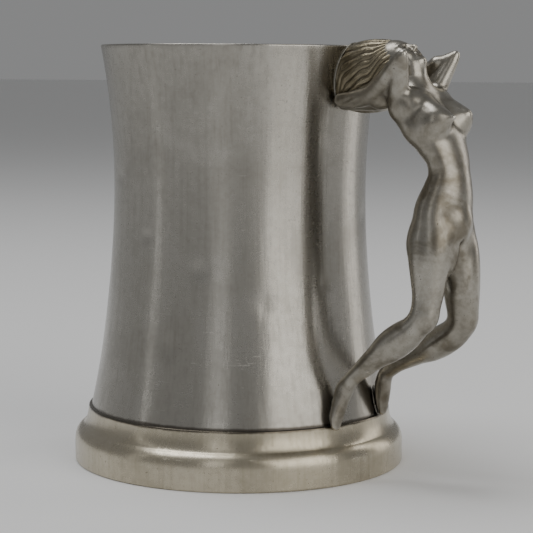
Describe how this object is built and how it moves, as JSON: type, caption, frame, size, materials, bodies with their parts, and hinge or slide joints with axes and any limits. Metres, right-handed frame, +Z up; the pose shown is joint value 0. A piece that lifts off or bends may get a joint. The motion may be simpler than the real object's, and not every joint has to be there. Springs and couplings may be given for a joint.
{
  "type": "tankard",
  "caption": "Waisted pewter drinking tankard on a stepped foot ring, with a cast leaning figure soldered on as its handle.",
  "frame": {"origin": "on the table at the centre of the foot ring, on the axis of the body", "axes": "+Z up along the axis of the body, +X from the axis towards the handle"},
  "size_m": [0.1328, 0.1016, 0.128],
  "materials": {
    "spun_pewter": "satin aged pewter with fine marks round the body",
    "foot_pewter": "satin aged pewter, a little warmer, with fine pits",
    "cast_pewter": "polished casting with dark tarnish in its hollows",
    "solder": "dull tarnished soft solder"
  },
  "bodies": {
    "root": {"body_shell": "spun_pewter", "foot_ring": "foot_pewter", "floor_disc": "spun_pewter", "figure_handle": "cast_pewter", "solder_floor_seam": "solder", "solder_foot_seam": "solder", "solder_hair_joint": "solder", "solder_right_foot": "solder", "solder_left_foot": "solder"}
  },
  "joints": []
}
